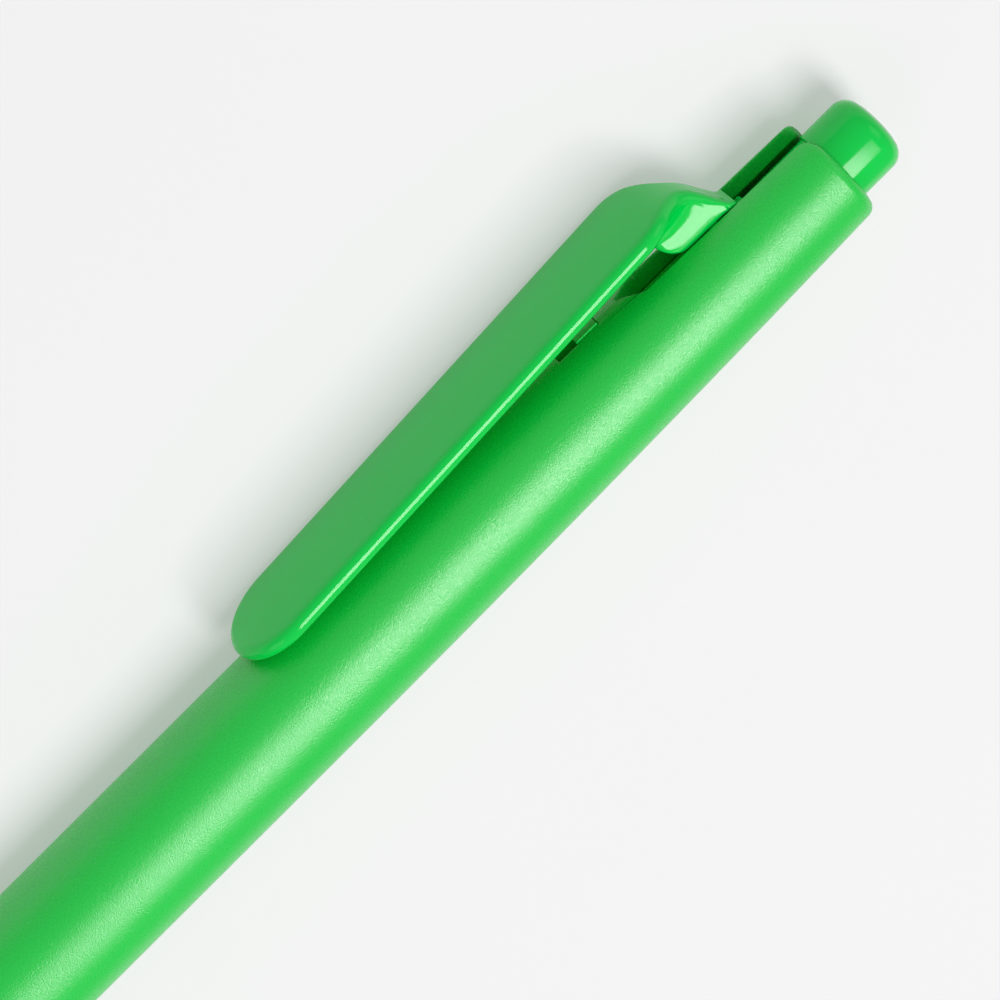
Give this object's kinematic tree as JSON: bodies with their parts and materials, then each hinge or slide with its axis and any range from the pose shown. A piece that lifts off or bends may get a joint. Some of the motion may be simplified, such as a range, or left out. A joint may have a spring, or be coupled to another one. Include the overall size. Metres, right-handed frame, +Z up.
{
  "type": "highlighter",
  "caption": "Push-button highlighter: a matte green barrel with a broad glossy clip, a button that pushes the chisel nib out, and an ink cartridge inside.",
  "frame": {"origin": "under the middle of the pen, on the table it lies on", "axes": "+X along the barrel towards the button, +Y out on the clip's side, +Z up from the table"},
  "size_m": [0.1422, 0.0168, 0.012],
  "materials": {
    "matte_green": "fine matte moulded texture",
    "gloss_green": "smooth gloss",
    "natural_plastic": "natural unpainted moulding",
    "clear_tube": "milky translucent",
    "film": "thin clear film",
    "ink_fibre": "ink-soaked fibre",
    "nib_fibre": "dense ink-soaked fibre",
    "spring_steel": "drawn wire",
    "seal_rubber": "smooth"
  },
  "bodies": {
    "barrel": {"barrel": "matte_green", "front_section": "matte_green", "nose_cone": "matte_green", "seal_ring": "seal_rubber", "clip_sleeve": "gloss_green", "return_spring": "spring_steel"},
    "button": {"button": "gloss_green", "plunger": "natural_plastic"},
    "cartridge": {"rotor": "natural_plastic", "tail_plug": "natural_plastic", "ink_tube": "clear_tube", "reservoir_wrap": "film", "ink_core": "ink_fibre", "nib_holder": "natural_plastic", "nib": "nib_fibre"},
    "clip": {"clip": "gloss_green"}
  },
  "joints": [
    {"name": "cartridge_slide", "type": "slide", "parent": "barrel", "child": "cartridge", "axis": [-1, 0, 0], "range_m": [0, 0.0044], "stiffness_N_per_m": 350, "springref_m": -0.004, "deforming": ["return_spring"]},
    {"name": "button_slide", "type": "slide", "parent": "barrel", "child": "button", "axis": [-1, 0, 0], "range_m": [0, 0.0044]},
    {"name": "clip_flex", "type": "hinge", "parent": "barrel", "child": "clip", "pos_m": [0.0549, 0.00194, 0.00579], "axis": [0, -0.048, -0.9988], "range_deg": [0, 4], "stiffness_Nm_per_rad": 0.3}
  ],
  "couplings": [
    {"joint": "button_slide", "follows": "cartridge_slide", "ratio": 1}
  ]
}
